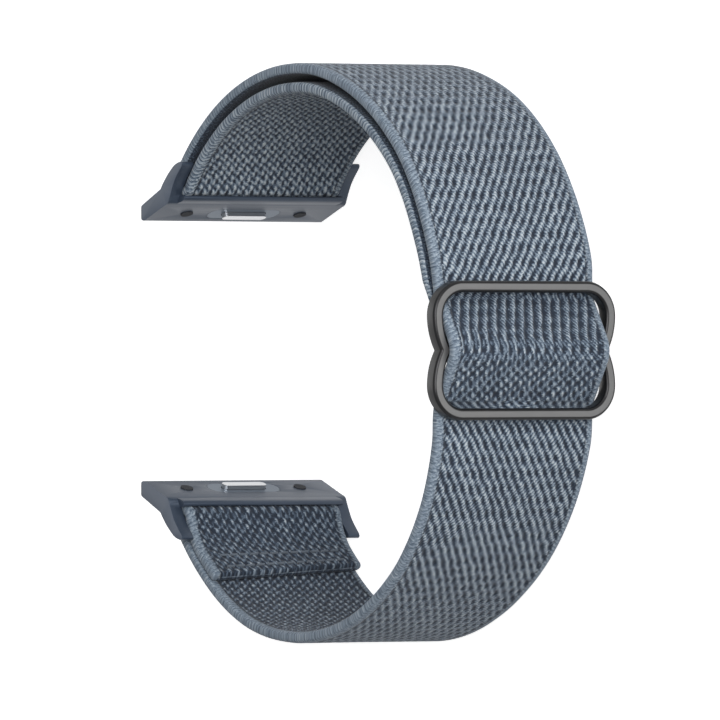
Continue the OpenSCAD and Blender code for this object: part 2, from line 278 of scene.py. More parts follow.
def settled(points):
    """How far the near and the far edge stand off at points of the drawn path."""
    degrees = np.degrees(np.arctan2(points[:, 0], -points[:, 1]))
    half_degrees = np.linspace(0, 180, 361)
    blur = 7
    moves = np.zeros((len(points), 2))
    for sign, table in SETTLED.items():
        places, *edges = np.array(table).T
        for side, values in enumerate(edges):
            padded = np.pad(np.interp(half_degrees, places, values), blur, "edge")
            smooth = np.convolve(padded, np.hanning(2 * blur + 1) / blur, "valid")
            moves[:, side] += np.interp(degrees * sign, half_degrees, smooth, left=0)
    return moves


class Path:
    """The whole strap's middle line, read by distance along it."""

    def __init__(self, points):
        moves = settled(points)
        out = points / np.linalg.norm(points, axis=1)[:, None]
        points = points + out * moves.mean(axis=1)[:, None]
        step = np.linalg.norm(np.diff(points, axis=0), axis=1)
        kept = np.concatenate([[True], step > 1e-6])
        self.points = points[kept]
        self.lean = (out * (moves[:, :1] - moves[:, 1:]) / 2)[kept]
        step = np.linalg.norm(np.diff(self.points, axis=0), axis=1)
        self.along = np.concatenate([[0], np.cumsum(step)])
        self.ways = np.gradient(self.points, self.along, axis=0)

    def at(self, distance):
        """Points, right-hand normals and the near edge's lean at distances along the path."""
        point, way, lean = [
            np.column_stack([np.interp(distance, self.along, values[:, i]) for i in (0, 1)])
            for values in (self.points, self.ways, self.lean)
        ]
        way /= np.linalg.norm(way, axis=1)[:, None]
        return point, np.column_stack([way[:, 1], -way[:, 0]]), lean


def strap_path(s):
    """The path, and the distances along it of the folds, the crest, the draw and the end."""
    parts = [lower_part(s), wave_part(s), upper_part(s)]
    path = Path(np.concatenate(parts))

    def distance_to(point):
        gaps = np.linalg.norm(path.points - point, axis=1)
        return path.along[int(np.argmin(gaps))]

    turned_in = 140
    fold = s.bar + polar(s.fold_r, turned_in)
    marks = SimpleNamespace(
        lower_fold=distance_to(fold * [-1, 1]),
        crest=distance_to(s.crest_at - [0, s.crest_r]),
        fold=distance_to(fold),
        draw=distance_to(polar(s.inner_r, s.draw - 90)),
        end=path.along[-1],
    )
    return path, marks


# Meshes

def linked(name, data):
    """A new object in the scene, from a mesh, a lamp or a camera."""
    made = bpy.data.objects.new(name, data)
    bpy.context.scene.collection.objects.link(made)
    return made


def new_piece(name, vertices, faces, smooth_deg=None):
    """A mesh object in metres from points in millimetres."""
    mesh = bpy.data.meshes.new(name)
    mesh.from_pydata((np.asarray(vertices) * MM).tolist(), [], faces)
    mesh.validate()
    mesh.shade_smooth()
    if smooth_deg is not None:
        mesh.set_sharp_from_angle(angle=math.radians(smooth_deg))
    return linked(name, mesh)


def store(piece, key, values):
    """Stores a vector for each point of a piece."""
    layer = piece.data.attributes.new(key, "FLOAT_VECTOR", "POINT")
    layer.data.foreach_set("vector", values.astype(np.float32).ravel())


def ring_faces(rings, points, looped):
    """Quads between rings of points, outward for rings that turn clockwise seen from behind."""
    faces = []
    for i in range(rings if looped else rings - 1):
        a, b = i * points, (i + 1) % rings * points
        for j in range(points):
            k = (j + 1) % points
            faces.append((a + j, a + k, b + k, b + j))
    return faces


# Weave of the webbing: leaning cords of stitches between two selvages

THREAD_ROUND = 0.6
RING_STEP = 0.25
SELVAGE_STEPS = 18
# What a point's edge value is where layers lie on each other, which the finish paints as shadow; 0
# is the field and 1 a selvage
PAINTED_SHADOW_EDGE = 2


def weave_height(cos, across, along, plain, leaning, facing, level):
    """Height of the weave over its gaps from its two phases, for arrays and for signals."""
    skew = 0.55
    skewed = cos(across + cos(across) * skew)
    waves = plain * skewed + leaning * cos(across + along) + facing * cos(across - along)
    return (waves + level * cos(along)) * 0.5 + 0.5


def wander(along, across, size, seed):
    """Smooth seeded noise between -1 and 1 over the webbing, with a given grain in mm."""
    rows, columns = int(along.max() / size) + 3, int(np.ptp(across) / size) + 3
    knots = np.random.default_rng(seed).uniform(-1, 1, (rows, columns))
    x, y = along / size, (across - across.min()) / size
    i, j = x.astype(int), y.astype(int)
    a, b = [t * t * (3 - 2 * t) for t in (x - i, y - j)]
    low = knots[i, j] * (1 - b) + knots[i, j + 1] * b
    high = knots[i + 1, j] * (1 - b) + knots[i + 1, j + 1] * b
    return low * (1 - a) + high * a


# By place along the strap: cords a mm across and rows a mm along, the cords' lean, the shares of
# the plain, leaning, facing and level waves, how far stitches fill their gaps, how much painted
# shade darkens them for the light on that part of the loop, the ply a mm along and across, and the
# depth of the gaps in mm
FACE_VALUES = (
    "cords", "rows", "lean", "plain", "leaning", "facing", "level", "fill", "painted_shade", "ply_along",
    "ply_across", "depth",
)
# The painted shade column makes the top, the flap and the inside darker for the light that reaches
# them there, and lighter below 0.
FACES = {
    "flap": (0.70, 0.62, 0.0, 0.14, 0.36, 0.36, 0.0, -0.04, 0.15, 0.5, 1.5, 0.28),
    "top_lower": (0.766, 0.43, 0.0, 0.58, 0.04, 0.24, -0.16, 0.26, 0.21, 1.3, -0.5, 0.22),
    "outside_lower": (0.766, 0.50, 0.0, 0.18, 0.06, 0.62, -0.12, -0.04, 0, 1.35, -1.6, 0.34),
    "window_low": (0.70, 0.617, -0.114, 0.14, 0.36, 0.36, -0.10, -0.06, 0.05, 0.4, 1.3, 0.34),
    "window_mid": (0.69, 0.617, 0.0, 0.46, 0.20, 0.20, -0.14, -0.07, 0.05, 0.9, 1.6, 0.34),
    "window_high": (0.68, 0.55, 0.23, 0.72, 0.07, 0.07, -0.14, -0.07, 0.09, 1.2, 1.9, 0.34),
    "outside_upper": (0.766, 0.50, 0.0, 0.18, 0.62, 0.06, -0.12, -0.04, 0, 1.35, 1.6, 0.34),
    "top_upper": (0.766, 0.43, 0.0, 0.58, 0.24, 0.04, -0.16, 0.26, 0.25, 1.3, 0.5, 0.22),
    "inside": (0.73, 1.11, 0.18, 0.43, 0.0, 0.43, 0.1, -0.10, -0.10, 0.3, 1.46, 0.28),
    "inside_lower": (0.73, 1.11, 0.18, 0.43, 0.0, 0.43, 0.1, -0.12, 0.10, 0.3, 1.46, 0.28),
}


def face_values(along, marks, back):
    """The weave's values by name at distances along the strap, on its face or its back."""
    if back:
        stops = [(0, "inside_lower")]
    else:
        stops = [
            (marks.lower_fold - 1, "flap"), (marks.lower_fold + 1, "top_lower"),
            (marks.crest - 60, "top_lower"), (marks.crest - 34, "outside_lower"),
            (marks.crest - 9.5, "outside_lower"), (marks.crest - 7.5, "window_low"),
            (marks.crest - 1.5, "window_low"), (marks.crest + 0.5, "window_mid"),
            (marks.crest + 3, "window_high"), (marks.crest + 7.5, "window_high"),
            (marks.crest + 9.5, "outside_upper"), (marks.crest + 34, "outside_upper"),
            (marks.crest + 60, "top_upper"), (marks.fold - 1, "top_upper"),
            (marks.fold + 1, "inside"),
        ]
    places, faces = zip(*stops)
    columns = zip(*[FACES[face] for face in faces])
    return {key: np.interp(along, places, column) for key, column in zip(FACE_VALUES, columns)}


def weave_relief(strap, along, across, back):
    """What the finish reads of the weave over a grid, and how deep its gaps are, in mm."""
    fine_step = 0.05
    fine = np.arange(0, strap.marks.end + 1, fine_step)
    rates = face_values(fine, strap.marks, back)
    values = face_values(along[:, 0], strap.marks, back)
    here = {key: column[:, None] for key, column in values.items()}

    def counted(key):
        """How many have passed on the way to each point, from their rate."""
        return np.interp(along, fine, np.cumsum(rates[key]) * fine_step)

    # Threads stray by hundredths of a millimetre across, and by shares of a row along
    slow = wander(along, across, 2.6, 3 + back)
    quick = wander(along, across, 0.8, 5 + back)
    strayed = across + 0.07 * slow + 0.08 * quick
    drift = 0.14 * wander(along, across, 3.1, 7 + back) + 0.16 * wander(along, across, 0.9, 11)
    cords = TURN * (strayed * here["cords"] + counted("lean"))
    rows = TURN * (counted("rows") + drift * here["rows"])
    ply = TURN * (counted("ply_along") - here["ply_across"] * strayed)
    shares = [here[key] + 0 * across for key in ("plain", "leaning", "facing", "level")]
    fill = here["fill"] + 0.09 * quick + 0.10 * wander(along, across, 0.5, 13 + back)
    waves = weave_height(np.cos, cords, rows, *shares)
    height = np.clip(waves + fill, 0, 1) ** THREAD_ROUND
    fade, selvage_sunk = 0.5, 0.08
    inward = np.clip((strap.half_field - np.abs(across)) / fade, 0, 1)
    sunk = here["depth"] * (1 - height) * inward + selvage_sunk * (1 - inward)
    stored = {
        "weave": np.dstack([cords, rows, ply]),
        "weave_mix": np.dstack(shares[:3]),
        "weave_fill": np.dstack([shares[3], fill, here["painted_shade"] + 0 * across]),
    }
    return stored, sunk


def slant(distance, across, s):
    """How far the flap's raw end is cut back: more at the far edge than at the near one."""
    cut_back = s.slant_mid - s.slant_lean * across / (s.width / 2)
    return np.clip(1 - distance / s.slant_len, 0, 1) * cut_back


def thickness(along, strap):
    """Thickness along the strap: thinner in the end loop, and rounded off at both ends."""
    s, marks = strap.sizes, strap.marks
    ease, end_round, end_share = 4, 0.35, 0.25
    drawn = np.interp(along, [marks.draw - ease, marks.draw + ease], [s.thick, s.tight])
    inward = np.clip(np.minimum(along, marks.end - along) / end_round, 0, 1)
    return drawn * (end_share + (1 - end_share) * np.sqrt(1 - (1 - inward) ** 2))


def section(strap, back_steps):
    """One section of the webbing, clockwise seen from behind: across, side and edge."""
    look, half = strap.look, strap.half_field
    fullness = 0.62
    face = np.linspace(-half, half, look.rib_steps * look.ribs + 1)
    back = np.linspace(half, -half, back_steps * look.ribs + 1)
    turns = np.radians(np.linspace(90, -90, SELVAGE_STEPS + 1))[1:-1]
    reach = half + (strap.sizes.width / 2 - half) * np.cos(turns) ** fullness
    fall = np.sign(turns) * np.abs(np.sin(turns)) ** fullness
    return SimpleNamespace(
        across=np.concatenate([face, reach, back, -reach[::-1]]),
        side=np.concatenate([face * 0 + 1, fall, back * 0 - 1, fall[::-1]]),
        edge=np.concatenate([face * 0, reach * 0 + 1, back * 0, reach * 0 + 1]),
        face=slice(0, len(face)),
        back=slice(len(face) + len(reach), len(face) + len(reach) + len(back)),
    )


def ring_places(start, end):
    """Distances of a stretch's rings, closer together at the flap's rounded end."""
    first, last = math.ceil(start / RING_STEP), math.floor(end / RING_STEP)
    along = np.concatenate([[start], np.arange(first, last + 1) * RING_STEP, [end]])
    if start == 0:
        along = np.concatenate([[0, 0.03, 0.08, 0.15], along[along > 0.2]])
    return along[np.concatenate([[True], np.diff(along) > 1e-4])]


def webbing_piece(name, strap, start, end, back_steps, shadow_below):
    """A stretch of webbing as a closed mesh, with what its finish reads stored on it."""
    s, marks = strap.sizes, strap.marks
    along = ring_places(start, end)
    cut = section(strap, back_steps)
    rings, points = len(along), len(cut.across)
    across = np.tile(cut.across, (rings, 1))
    grid = along[:, None] + slant(along[:, None], across, s)
    centre, normal, lean = [v.reshape(rings, points, 2) for v in strap.path.at(grid.ravel())]
    off = cut.side * thickness(along, strap)[:, None] / 2
    stored, sunk = weave_relief(strap, grid, across, False)
    off[:, cut.face] -= sunk[:, cut.face]
    if back_steps > 1:
        inside, sunk = weave_relief(strap, grid[:, cut.back], across[:, cut.back], True)
        for key, values in inside.items():
            stored[key][:, cut.back] = values
        off[:, cut.back] += sunk
    # Points low on the side, where the layers lie close, are marked for painted shadow.
    edge = np.where(cut.side < shadow_below, PAINTED_SHADOW_EDGE, cut.edge)
    stored["weave_place"] = np.dstack([across, grid, np.tile(edge, (rings, 1))])

    narrowing = np.interp(along, [marks.draw + 2, marks.draw + 8], [1, s.loop_width])
    across = (across * narrowing[:, None])[:, :, None]
    flat = centre + off[:, :, None] * normal + across / (s.width / 2) * lean
    origin = [s.centre[0], s.centre[1], s.mid_z]
    vertices = np.concatenate([flat, across], axis=2) + origin
    faces = [f[::-1] for f in ring_faces(rings, points, False)]
    faces.append(tuple(range(points)))
    faces.append(tuple((rings - 1) * points + j for j in reversed(range(points))))
    piece = new_piece(name, vertices.reshape(-1, 3), faces)
    for key, values in stored.items():
        store(piece, key, values)
    return piece


# Materials

class Signal:
    """An output socket that takes Python's arithmetic."""

    def __init__(self, nodes, socket):
        self.nodes = nodes
        self.socket = socket

    def __add__(self, other):
        return self.nodes.math("ADD", self, other)

    __radd__ = __add__

    def __sub__(self, other):
        return self.nodes.math("SUBTRACT", self, other)

    def __rsub__(self, other):
        return self.nodes.math("SUBTRACT", other, self)

    def __mul__(self, other):
        return self.nodes.math("MULTIPLY", self, other)

    __rmul__ = __mul__

    def __truediv__(self, other):
        return self.nodes.math("DIVIDE", self, other)

    def __rtruediv__(self, other):
        return self.nodes.math("DIVIDE", other, self)

    def __pow__(self, other):
        return self.nodes.math("POWER", self, other)

    def __rpow__(self, other):
        return self.nodes.math("POWER", other, self)


class Nodes:
    """The nodes of a material or a world, made from Python expressions."""

    def __init__(self, tree):
        self.tree = tree
        self.tree.nodes.clear()

    def feed(self, socket, value):
        """Links a signal to a socket, or sets a number, vector or colour on it."""
        if isinstance(value, Signal):
            self.tree.links.new(value.socket, socket)
            return
        if hasattr(socket.default_value, "__len__") and len(socket.default_value) == 4:
            value = (*value, 1.0) if len(value) == 3 else value
        socket.default_value = value

    def node(self, kind, settings=None, sockets=None, output=0):
        """Any node: its settings first, then the values or links of its sockets."""
        made = self.tree.nodes.new("ShaderNode" + kind)
        for name, value in (settings or {}).items():
            if name == "stops":
                ramp = made.color_ramp
                while len(ramp.elements) < len(value):
                    ramp.elements.new(0.5)
                for element, (place, colour) in zip(ramp.elements, value):
                    element.position = place
                    element.color = (*colour, 1.0)
            else:
                setattr(made, name, value)
        for name, value in (sockets or {}).items():
            self.feed(made.inputs[name], value)
        return Signal(self, made.outputs[output]) if made.outputs else None

    def math(self, operation, *values):
        """A Math node on numbers and signals."""
        return self.node("Math", {"operation": operation}, dict(enumerate(values)))

    def cosine(self, value):
        """The cosine of a signal."""
        return self.math("COSINE", value)

    def attribute(self, name):
        """A vector that is stored on the mesh."""
        return self.node("Attribute", {"attribute_name": name}, output=1)

    def mix(self, factor, a, b):
        """A colour between two colours."""
        settings = {"data_type": "RGBA", "clamp_factor": True}
        return self.node("Mix", settings, {0: factor, 6: a, 7: b}, output=2)

    def blend(self, factor, a, b):
        """A number between two numbers."""
        return a + (b - a) * factor

    def parts(self, vector):
        """The three numbers of a vector."""
        split = self.node("SeparateXYZ", None, {0: vector})
        return [Signal(self, out) for out in split.socket.node.outputs]

    def joined(self, x, y, z):
        """A vector from three numbers."""
        return self.node("CombineXYZ", None, {0: x, 1: y, 2: z})

    def noise(self, vector, scale, detail=2.0):
        """Soft noise between 0 and 1."""
        sockets = {"Vector": vector, "Scale": scale, "Detail": detail}
        return self.node("TexNoise", None, sockets)

    def bump(self, height, distance):
        """A normal from a height."""
        return self.node("Bump", None, {"Height": height, "Distance": distance})

    def ramp(self, factor, *stops):
        """A colour ramp through (place, colour) stops."""
        return self.node("ValToRGB", {"stops": stops}, {0: factor})

    def place(self):
        """Where a point is on the object, in metres."""
        return self.node("TexCoord", output=3)

    def seen(self):
        """1 on what the camera, a gloss or a glass sees, and 0 on what lights the strap."""
        rays = self.node("LightPath").socket.node.outputs
        camera, glossy, through = [
            Signal(self, rays[f"Is {kind} Ray"]) for kind in ("Camera", "Glossy", "Transmission")
        ]
        return self.math("MAXIMUM", self.math("MAXIMUM", camera, glossy), through)


class Finish(Nodes):
    """A material with one Principled shader."""

    def __init__(self, name, **sockets):
        self.material = bpy.data.materials.new(name)
        self.material.use_nodes = True
        super().__init__(self.material.node_tree)
        shader = self.node("BsdfPrincipled")
        self.shader = shader.socket.node
        self.node("OutputMaterial", None, {"Surface": shader})
        self.set(**sockets)

    def set(self, **sockets):
        """Sets the shader's sockets by their names, with _ for a space."""
        for name, value in sockets.items():
            self.feed(self.shader.inputs[name.replace("_", " ")], value)


def webbing_finish(look, half_field):
    """Slate nylon: two-ply threads over dark gaps, and threads wound round the selvages."""
    f = Finish("woven_nylon", Roughness=0.8, Specular_IOR_Level=0.25, Sheen_Weight=0.1)
    cords, rows, ply = f.parts(f.attribute("weave"))
    plain, leaning, facing = f.parts(f.attribute("weave_mix"))
    across, along, edge = f.parts(f.attribute("weave_place"))
    level_share, fill, painted_shade = f.parts(f.attribute("weave_fill"))

    # Colour and height of the stitches between the selvages
    spot = f.joined(across, along, 0)
    fray = f.noise(spot, 4.2, 3.0) - 0.5
    tone = f.noise(spot, 0.22) - 0.5
    waves = weave_height(f.cosine, cords, rows, plain, leaning, facing, level_share) + fill
    height = f.math("MINIMUM", f.math("MAXIMUM", waves, 0.001), 1.0) ** THREAD_ROUND
    strand = f.cosine(ply + fray * 6)
    # Painted shade darkens each stretch's stitches for how light falls on that part of the loop.
    level = height + strand * 0.15 + fray * 0.75 - painted_shade
    # The ramp paints shade into the gaps between stitches and a painted highlight on their tops,
    # over the nylon's own colour and the relief's own shading.
    field = f.ramp(
        level, (0.36, look.gap), (0.54, look.seam), (0.69, look.mid), (0.85, look.thread),
        (1.0, look.tip),
    )
    field = f.mix(tone + 0.3, field, f.mix(0.25, field, look.seam))

    # Threads wound round the selvages, coarser on the inside, where the level share is above 0
    streak = f.noise(f.joined(across * 1.7 + along * 1.1, along * 4.2, 0), 1.0, 3.0) - 0.5
    reach = f.math("ABSOLUTE", across)
    turn = f.cosine((along / look.wrap_pitch + reach * 0.9 + streak * 2.0) * TURN)
    flank = f.math("ABSOLUTE", reach - half_field)
    inner = f.math("MAXIMUM", 1.0 - flank * 1.6, 0.0)
    coarse = f.math("MAXIMUM", level_share, 0.0) * 1.8
    swing = turn * (0.1 + 0.3 * inner + coarse)
    wrap = swing + 0.53 + streak * 1.1 + fray * 0.7 - inner * 0.1
    seam = f.math("MAXIMUM", 1.0 - flank * 4.0, 0.0) * (0.75 - turn * 0.5 + streak)
    # The ramp paints shade between the selvage threads and a painted highlight on their tops.
    selvage = f.ramp(
        wrap, (0.12, look.seam), (0.45, look.mid), (0.72, look.thread), (1.0, look.tip)
    )

    # Painted shadow where the webbing lies against itself: dark colour with specks of thread in
    # place of the shade in the groove between the layers
    dark = fray * 2.2 + streak + turn * 0.06 + 0.22
    shadow_speck = f.ramp(dark, (0.1, look.gap), (0.4, look.seam), (0.75, look.mid))
    rim = f.math("MINIMUM", edge, 1.0)
    layer_shadow = f.math("SUBTRACT", edge, 1.0)
    f.set(
        Base_Color=f.mix(layer_shadow, f.mix(seam, f.mix(rim, field, selvage), look.gap), shadow_speck),
        Normal=f.bump(f.blend(rim, level, wrap * 0.5), look.bump * MM),
    )
    return f.material


def thread_finish(colour):
    """Sewing thread with a two-ply twist."""
    f = Finish("sewing_thread", Roughness=0.6, Sheen_Weight=0.2)
    place = f.place()
    x, y, z = f.parts(place)
    twist = f.math("SINE", (x + y + z * 2.0) * (TURN / 0.0004))
    dark = tuple(c * 0.55 for c in colour)
    f.set(
        Base_Color=f.mix(twist * 0.5 + 0.5, dark, colour),
        Normal=f.bump(twist, 0.03 * MM),
    )
    return f.material


def metal_finish(name, colour, pale, metallic, rough, grain_mm):
    """Satin metal: a fine blasted grain, with slow changes of tone and gloss."""
    f = Finish(name, Metallic=metallic, Specular_IOR_Level=0.5)
    place = f.place()
    slow = f.noise(place, 120.0)
    grain = f.noise(place, 1.0 / (grain_mm * MM), 3.0)
    f.set(
        Base_Color=f.mix(slow * 0.6 + grain * 0.25, colour, pale),
        Roughness=f.math("MULTIPLY_ADD", grain, 0.12, rough - 0.06),
        Normal=f.bump(grain, 0.004 * MM),
    )
    return f.material


def rubber_finish():
    """Matt dark rubber."""
    f = Finish("pad_rubber", Roughness=0.85, Specular_IOR_Level=0.3)
    place = f.place()
    grain = f.noise(place, 9000.0, 2.0)
    f.set(
        Base_Color=f.mix(grain, (0.018, 0.019, 0.022), (0.04, 0.042, 0.048)),
        Normal=f.bump(grain, 0.01 * MM),
    )
    return f.material


def dress(piece, material):
    """Gives a piece its material."""
    piece.data.materials.clear()
    piece.data.materials.append(material)
    return piece


def flap_seams(s):
    """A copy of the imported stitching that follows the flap's slanted end."""
    piece = linked("flap_seams", frame["nodes"]["flap_stitching"].data.copy())
    points = np.array([v.co for v in piece.data.vertices]) / MM
    flat = (points[:, :2] - s.centre[:2]) * [-1, 1] - s.outer_lead_at
    angles = np.arctan2(flat[:, 1], flat[:, 0])
    distance = (angles - math.radians(s.flap_end)) * s.flap_r
    turn = slant(distance, points[:, 2] - s.mid_z, s) / s.flap_r
    cosine, sine = np.cos(turn)[:, None], np.sin(turn)[:, None]
    flat = flat * cosine + flat[:, ::-1] * [-1, 1] * sine
    points[:, :2] = (flat + s.outer_lead_at) * [-1, 1] + s.centre[:2]
    piece.data.vertices.foreach_set("co", (points * MM).ravel())
    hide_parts("flap_stitching")
    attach(piece, "band")
    return piece


# Slider

def rim_section(near, far, s):
    """Points round the rim's rounded section between an inner and an outer point."""
    steps = 6
    length = np.linalg.norm(far - near)
    way = (far - near) / length
    r, d = s.rim_round, s.rim_depth / 2
    corners = [
        (r, d - r, 180, 90),
        (length - r, d - r, 90, 0),
        (length - r, r - d, 0, -90),
        (r, r - d, -90, -180),
    ]
    ring = []
    for along, up, start, end in corners:
        for turn in np.radians(np.linspace(start, end, steps + 1)):
            reach = along + r * math.cos(turn)
            ring.append([*(near + reach * way), up + r * math.sin(turn)])
    return ring


def rim_rings(s):
    """Rings round the slider's rim: along the strap is the second axis of each ring.

    A quarter runs from the waist round a lobe and a corner, and is mirrored for the others.
    """
    corner_at = np.array([s.side - s.corner_r, s.end_bar - s.corner_r])
    lobe_half = math.degrees(math.atan(s.waist / corner_at[1]))
    lobe_r = corner_at[1] / math.sin(math.radians(2 * lobe_half))
    lobe_at = np.array([s.side - lobe_r, corner_at[1]])
    half = s.rim_w / 2

    def waist_reach(radius):
        return lobe_at[0] + math.sqrt(radius**2 - lobe_at[1] ** 2)

    lobe_turns = np.linspace(-2 * lobe_half + 3, -2, 9)
    corner_turns = np.linspace(0, 90, 19)
    quarter = [[np.array([waist_reach(lobe_r + k * half), 0]) for k in (-1, 1)]]
    for turn in lobe_turns:
        quarter.append([lobe_at + polar(lobe_r + k * half, turn) for k in (-1, 1)])
    for turn in corner_turns:
        quarter.append([corner_at + polar(s.corner_r + k * half, turn) for k in (-1, 1)])
    rings = []
    for sx, sy in ((1, 1), (-1, 1), (-1, -1), (1, -1)):
        pairs = quarter if sx * sy > 0 else quarter[::-1]
        pairs = pairs[1:] if sy < 0 else pairs
        for near, far in pairs:
            flip = np.array([sx, sy])
            rings.append(rim_section(near * flip, far * flip, s))
    return rings


def slider_mesh(s):
    """The rim and its middle bar, and the painted light of each point: most on the front face, less
    on the sides, the back and the bar, none on the roundings.
    """
    rings = rim_rings(s)
    points = len(rings[0])
    flat = np.array(rings).reshape(-1, 3)
    faces = [f[::-1] for f in ring_faces(len(rings), points, True)]
    # Painted light on the rim: 1 on the lit front face, less on the shaded sides and back, 0 on the
    # roundings, which get the painted shade colour.
    side, shaded_behind, ahead = 0.12, 0.3, 1
    rounding = [0] * (points // 4 - 2)
    front = [side, *rounding, ahead]
    back = [side, *rounding, shaded_behind]
    painted_light = (front + front[::-1] + back + back) * len(rings)

    # The middle bar, which swells where it meets the rim
    bar_half = s.side - s.waist
    stations, sides, start = 25, 32, len(flat)
    reach = np.linspace(-bar_half, bar_half, stations)
    swell = 1 + 0.18 * (np.abs(reach) / bar_half) ** 12
    turns = np.radians(np.arange(sides) * 360 / sides)
    bar = []
    for x, k in zip(reach, swell):
        r = s.mid_bar_d / 2 * k
        bar += [[x, r * math.cos(t), r * math.sin(t) - s.mid_bar_recess] for t in turns]
    faces += [tuple(start + v for v in f) for f in ring_faces(stations, sides, False)]
    faces.append(tuple(start + j for j in reversed(range(sides))))
    faces.append(tuple(start + (stations - 1) * sides + j for j in range(sides)))
    # The middle bar sits back and gets the back's painted shade.
    painted_light += [shaded_behind] * len(bar)
    local = np.concatenate([flat, np.array(bar)])
    place = np.column_stack(
        [local[:, 1], -s.frame_out - local[:, 2], -local[:, 0] + s.mid_z]
    )
    place[:, 1] += s.centre[1]
    return place, faces, painted_light


def plated_finish(metal):
    """Dark plate with painted light: satin flats lit or shaded, and a near-black painted shade on
    the glossier roundings.
    """
    f = Finish("gunmetal_plate", Metallic=0.75, Specular_IOR_Level=0.5)
    place = f.place()
    flat = f.parts(f.attribute("plate_tone"))[0]
    brushed = f.noise(place, 900.0, 3.0)
    cloud = f.noise(place, 160.0)
    x, y, z = f.parts(place)
    drawn = f.noise(f.joined(x * 9000, y * 9000, z * 400), 1.0, 2.0)
    # Each point's painted light picks between the shaded and the lit plate colour.
    shade = flat * 0.86 + (cloud - 0.5) * 0.12 + (drawn - 0.5) * 0.12 * flat
    f.set(
        Base_Color=f.mix(shade, metal.plate_shaded, metal.plate_lit),
        Roughness=0.32 + 0.16 * flat + (brushed - 0.5) * 0.12,
        Normal=f.bump(brushed, 0.004 * MM),
    )
    return f.material


# Lugs

def softened(node, name, round_mm):
    """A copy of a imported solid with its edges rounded."""
    merge_mm, flat_deg, edge_deg = 0.002, 0.6, 32
    mesh = bmesh.new()
    mesh.from_mesh(frame["nodes"][node].data)
    bmesh.ops.remove_doubles(mesh, verts=mesh.verts, dist=merge_mm * MM)
    bmesh.ops.dissolve_limit(
        mesh, angle_limit=math.radians(flat_deg), verts=mesh.verts, edges=mesh.edges
    )
    copy = bpy.data.meshes.new(name)
    mesh.to_mesh(copy)
    mesh.free()
    copy.shade_smooth()
    piece = linked(name, copy)
    bevel = piece.modifiers.new("rounding", "BEVEL")
    bevel.width = round_mm * MM
    bevel.segments = 3
    bevel.limit_method = "ANGLE"
    bevel.angle_limit = math.radians(edge_deg)
    bevel.harden_normals = True
    return piece


def leaf_spring(side):
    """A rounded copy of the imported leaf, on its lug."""
    node = side + "_lug_spring"
    piece = softened(node, side + "_leaf", round_mm=0.02)
    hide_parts(node)
    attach(piece, side + "_lug")
    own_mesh(piece)
    return piece


# Sizes and colours that a user would change

class WebbingLook(bpy.types.PropertyGroup):
    """Weave and colours of the nylon."""

    ribs: bpy.props.IntProperty(
        name="Ribs", description="Ribs between the two selvages", default=17, min=8, max=30
    )
    rib_steps: bpy.props.IntProperty(
        name="Rib steps", description="Mesh steps across one rib", default=8, min=4, max=12
    )
    rib_pitch: bpy.props.FloatProperty(
        name="Rib pitch", description="Distance from rib to rib, in mm", default=1.345
    )
    bump: bpy.props.FloatProperty(
        name="Bump", description="Depth of the fine relief in the finish, in mm", default=0.12
    )
    wrap_pitch: bpy.props.FloatProperty(
        name="Selvage pitch", description="Distance between selvage threads, in mm", default=0.68
    )
    # Gap and seam hold painted shade and tip a painted highlight, around the nylon's own mid and
    # thread colours.
    gap: bpy.props.FloatVectorProperty(
        name="Gap", description="Colour between stitches", subtype="COLOR",
        default=(0.012, 0.018, 0.030),
    )
    seam: bpy.props.FloatVectorProperty(
        name="Seam", description="Colour between selvage threads", subtype="COLOR",
        default=(0.048, 0.068, 0.100),
    )
    mid: bpy.props.FloatVectorProperty(
        name="Mid", description="Colour of a stitch's flank", subtype="COLOR",
        default=(0.126, 0.165, 0.214),
    )
    thread: bpy.props.FloatVectorProperty(
        name="Thread", description="Colour of a stitch", subtype="COLOR",
        default=(0.268, 0.320, 0.376),
    )
    tip: bpy.props.FloatVectorProperty(
        name="Tip", description="Colour of a stitch's top", subtype="COLOR",
        default=(0.47, 0.515, 0.545),
    )
    sewing: bpy.props.FloatVectorProperty(
        name="Sewing thread", description="Colour of the seams", subtype="COLOR",
        default=(0.11, 0.145, 0.19),
    )


class MetalLook(bpy.types.PropertyGroup):
    """Colours of the slider and the lugs."""

    # The two plate colours are painted light: the lit colour of the flats and the shaded colour of
    # the roundings.
    plate_lit: bpy.props.FloatVectorProperty(
        name="Plate, flats", description="Colour of the slider's flat faces", subtype="COLOR",
        default=(0.17, 0.17, 0.17),
    )
    plate_shaded: bpy.props.FloatVectorProperty(
        name="Plate, edges", description="Colour of the slider's roundings", subtype="COLOR",
        default=(0.012, 0.012, 0.013),
    )
    slate: bpy.props.FloatVectorProperty(
        name="Slate", description="Colour of the lugs", subtype="COLOR",
        default=(0.032, 0.045, 0.068),
    )
    retainer: bpy.props.FloatVectorProperty(
        name="Retainer", description="Colour of the plates over the catches", subtype="COLOR",
        default=(0.07, 0.095, 0.13),
    )
    edge_round: bpy.props.FloatProperty(
        name="Edge rounding", description="Rounding of the lugs' edges, in mm", default=0.3
    )


class StageLook(bpy.types.PropertyGroup):
    """Camera and light."""

    yaw: bpy.props.FloatProperty(
        name="Yaw", description="Turn of the camera towards the strap's width",
        default=math.radians(31.96), subtype="ANGLE",
    )
    distance: bpy.props.FloatProperty(
        name="Distance", description="From the camera to the strap", default=1.324,
        subtype="DISTANCE", unit="LENGTH",
    )
    scale: bpy.props.FloatProperty(
        name="Scale", description="Pixels a millimetre in a 720 pixel picture", default=7.088
    )
    floor_lift: bpy.props.FloatProperty(
        name="Floor lift", description="Light that the camera sees added to the floor", default=0.78
    )
    sky: bpy.props.FloatProperty(
        name="Sky", description="Strength of the light from all round", default=0.13
    )
    key: bpy.props.FloatProperty(
        name="Key", description="Power of the key light, in watts", default=5.4
    )


# Operators

# Angles from the slider's middle at which the webbing operator works out two points on the loop for
# each stretch; the points are not used further
BLEND_DEG = (100, 15)


